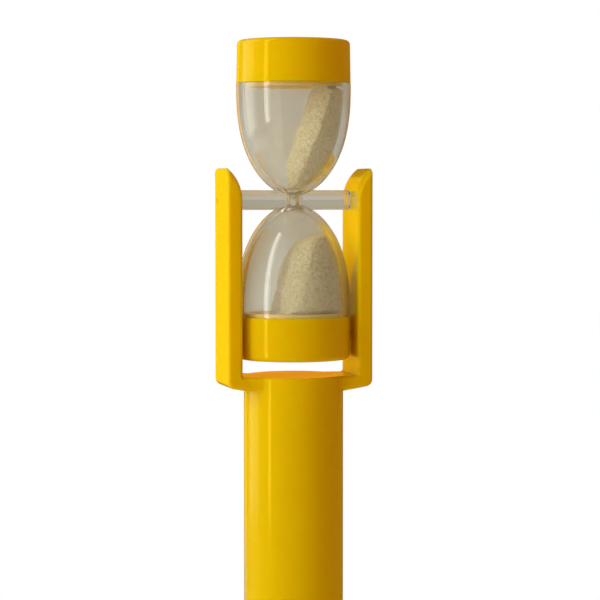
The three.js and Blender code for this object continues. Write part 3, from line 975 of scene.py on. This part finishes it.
def grain_skin():
    """Node tree: covers a surface with small separate grains and keeps the surface."""
    tree = bpy.data.node_groups.new("grain_skin", "GeometryNodeTree")
    face = tree.interface
    face.new_socket("Geometry", in_out="INPUT", socket_type="NodeSocketGeometry")
    face.new_socket("Grain Size", in_out="INPUT", socket_type="NodeSocketFloat")
    face.new_socket("Density", in_out="INPUT", socket_type="NodeSocketFloat")
    face.new_socket("Seed", in_out="INPUT", socket_type="NodeSocketInt")
    face.new_socket("Material", in_out="INPUT", socket_type="NodeSocketMaterial")
    face.new_socket("Geometry", in_out="OUTPUT", socket_type="NodeSocketGeometry")
    nodes = tree.nodes
    given = nodes.new("NodeGroupInput")
    scatter = nodes.new("GeometryNodeDistributePointsOnFaces")
    grain = nodes.new("GeometryNodeMeshIcoSphere")
    grain.inputs["Subdivisions"].default_value = 1
    size = nodes.new("FunctionNodeRandomValue")
    size.data_type = "FLOAT_VECTOR"
    size.inputs["Min"].default_value = (0.6, 0.6, 0.6)
    size.inputs["Max"].default_value = (1.15, 1.15, 1.15)
    turn = nodes.new("FunctionNodeRandomValue")
    turn.data_type = "FLOAT_VECTOR"
    turn.inputs["Max"].default_value = (math.tau, math.tau, math.tau)
    put = nodes.new("GeometryNodeInstanceOnPoints")
    realize = nodes.new("GeometryNodeRealizeInstances")
    join = nodes.new("GeometryNodeJoinGeometry")
    paint = nodes.new("GeometryNodeSetMaterial")
    result = nodes.new("NodeGroupOutput")
    link_nodes(
        tree,
        (given.outputs["Geometry"], scatter.inputs["Mesh"]),
        (given.outputs["Density"], scatter.inputs["Density"]),
        (given.outputs["Seed"], scatter.inputs["Seed"]),
        (given.outputs["Seed"], size.inputs["Seed"]),
        (given.outputs["Grain Size"], grain.inputs["Radius"]),
        (scatter.outputs["Points"], put.inputs["Points"]),
        (grain.outputs["Mesh"], put.inputs["Instance"]),
        (size.outputs["Value"], put.inputs["Scale"]),
        (turn.outputs["Value"], put.inputs["Rotation"]),
        (put.outputs["Instances"], join.inputs["Geometry"]),
        (given.outputs["Geometry"], join.inputs["Geometry"]),
        (join.outputs["Geometry"], realize.inputs["Geometry"]),
        (realize.outputs["Geometry"], paint.inputs["Geometry"]),
        (given.outputs["Material"], paint.inputs["Material"]),
        (paint.outputs["Geometry"], result.inputs["Geometry"]),
    )
    return tree


GRAIN_SKIN = grain_skin()


def heap(name, node, sign, surface, sweep_angle, seed):
    """One heap: the cup's space to the right of the free surface, covered with grains."""
    meshes = [cup_space(name, sign), heap_cutter(f"{name}_cutter", surface, sweep_angle)]
    core = combined(f"{name}_core", meshes, SAND, "INTERSECT", 75)
    skin = grown(name, GRAIN_SKIN, core.data.copy(), {
        "Grain Size": GRAIN_SIZE, "Density": GRAINS_PER_M2, "Seed": seed, "Material": SAND,
    })
    bpy.data.objects.remove(core)
    piece = add_piece(name, skin, SAND)
    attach(piece, "timer")
    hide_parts(node)


# each heap's free surface from the front, in mm to the right of the axis and above the axle
UPPER_SURFACE = [(-0.45, -1), (-0.5, 1), (-0.6, 2.4), (-0.5, 4.5), (0.8, 8.3), (2.6, 12.9), (4.6, 19)]
LOWER_SURFACE = [(-3.0, -19), (-2.3, -14.1), (-1.5, -10), (-0.5, -7), (0.9, -5.2), (3.0, -4.4), (6.5, -4.0)]
heap("sand_upper", "upper_sand", 1, UPPER_SURFACE, 0.1, 3)
heap("sand_lower", "lower_sand", -1, LOWER_SURFACE, 0.04, 8)

# ---- Refill -------------------------------------------------------------------------------
# A milky plastic tube of blue ink with a plug of grease on it, and at its lower end a turned
# brass tip that holds the writing ball. Only the tip and the ball show.

BRASS = (0.72, 0.50, 0.18)
BRASS_DULL = (0.50, 0.33, 0.12)


def turned_brass():
    """Turned brass: fine rings from the tool, a little tarnish and wear."""
    material, tree, shader = plain_material("turned_brass", BRASS, 0.28)
    shader.inputs["Metallic"].default_value = 1.0
    marks = marked(tree, 900, 6000, 0.7)
    place = tree.nodes.new("ShaderNodeTexCoord")
    rings = tree.nodes.new("ShaderNodeTexWave")
    rings.bands_direction = "Z"
    rings.inputs["Scale"].default_value = 2600
    rings.inputs["Distortion"].default_value = 0.6
    link_nodes(
        tree,
        (place.outputs["Object"], rings.inputs["Vector"]),
        (mixed(tree, marks.outputs["Smears"], BRASS, BRASS_DULL), shader.inputs["Base Color"]),
        (ranged(tree, marks.outputs["Smears"], 0.22, 0.42), shader.inputs["Roughness"]),
    )
    bumped(tree, shader, (rings.outputs["Fac"], 0.002 * MM), (marks.outputs["Scratches"], 0.002 * MM))
    return material


def hard_metal():
    """Ground and polished hard metal, with a film of ink in its fine texture."""
    material, tree, shader = plain_material("hard_metal", (0.48, 0.49, 0.53), 0.16)
    shader.inputs["Metallic"].default_value = 1.0
    grain = noise(tree, 9000, 4)
    link_nodes(
        tree,
        (mixed(tree, grain, (0.50, 0.51, 0.55), (0.20, 0.22, 0.38)), shader.inputs["Base Color"]),
        (ranged(tree, grain, 0.1, 0.3), shader.inputs["Roughness"]),
    )
    bumped(tree, shader, (grain, 0.002 * MM))
    return material


def soft_filling(name, light, dark, roughness, scale):
    """A paste or a milky plastic with cloudy streaks."""
    material, tree, shader = plain_material(name, light, roughness)
    cloud = noise(tree, scale, 3)
    link_nodes(
        tree,
        (mixed(tree, cloud, light, dark), shader.inputs["Base Color"]),
        (ranged(tree, cloud, roughness, roughness + 0.15), shader.inputs["Roughness"]),
    )
    bumped(tree, shader, (cloud, 0.005 * MM))
    return material


TIP_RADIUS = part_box("refill_tip")[1][0]
TIP_LOW, TIP_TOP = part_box("refill_tip")[0][2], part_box("refill_tip")[1][2]
BALL_CENTRE = (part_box("writing_ball")[0][2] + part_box("writing_ball")[1][2]) / 2
BALL_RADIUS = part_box("writing_ball")[1][0]
SOCKET_RADIUS = 0.53 * MM
CHANNEL_RADIUS = 0.3 * MM
LIP_EDGE = 0.03 * MM
LIP_WALL = 0.08 * MM
LIP_HEIGHT = 0.14 * MM
SHANK_LENGTH = 4.05 * MM
SHANK_STEP = 0.27 * MM

lip = math.degrees(math.asin((BALL_CENTRE - TIP_LOW) / SOCKET_RADIUS))
seat = math.degrees(math.acos(CHANNEL_RADIUS / SOCKET_RADIUS))
tip_profile = arc((0, BALL_CENTRE), SOCKET_RADIUS, seat, -lip, 12)
tip_profile += [
    (SOCKET_RADIUS + LIP_EDGE, TIP_LOW + 0.02 * MM),
    (SOCKET_RADIUS + LIP_WALL, TIP_LOW + LIP_HEIGHT),
    (TIP_RADIUS - 0.22 * MM, NOSE_LOW - 0.95 * MM),
    (TIP_RADIUS - 0.06 * MM, NOSE_LOW - 0.62 * MM),
    (TIP_RADIUS, NOSE_LOW - 0.5 * MM),
    (TIP_RADIUS, TIP_TOP - SHANK_LENGTH - 0.05 * MM),
    (TIP_RADIUS - SHANK_STEP, TIP_TOP - SHANK_LENGTH),
    (TIP_RADIUS - SHANK_STEP, TIP_TOP),
    (CHANNEL_RADIUS, TIP_TOP),
    tip_profile[0],
]
tip = add_piece("tip", turned("tip", tip_profile, 64), turned_brass())
shade(tip)
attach(tip, "pen")
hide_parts("refill_tip")

ball_mesh = bmesh.new()
bmesh.ops.create_icosphere(ball_mesh, subdivisions=4, radius=BALL_RADIUS)
bmesh.ops.translate(ball_mesh, verts=ball_mesh.verts, vec=(0, 0, BALL_CENTRE))
ball = add_piece("ball", bpy.data.meshes.new("ball"), hard_metal())
ball_mesh.to_mesh(ball.data)
ball_mesh.free()
ball.data.polygons.foreach_set("use_smooth", [True] * len(ball.data.polygons))
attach(ball, "pen")
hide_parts("writing_ball")

# the tube and what fills it are hidden by the barrel, and keep their plain forms
HIDDEN = {
    "refill_tube": soft_filling("milky_tube", (0.80, 0.80, 0.76), (0.70, 0.70, 0.66), 0.35, 300),
    "ink_column": soft_filling("blue_ink", (0.010, 0.016, 0.10), (0.006, 0.010, 0.06), 0.15, 600),
    "grease_follower": soft_filling("grease", (0.55, 0.45, 0.16), (0.45, 0.36, 0.12), 0.2, 800),
}
for node, material in HIDDEN.items():
    frame["nodes"][node].data.materials.clear()
    frame["nodes"][node].data.materials.append(material)
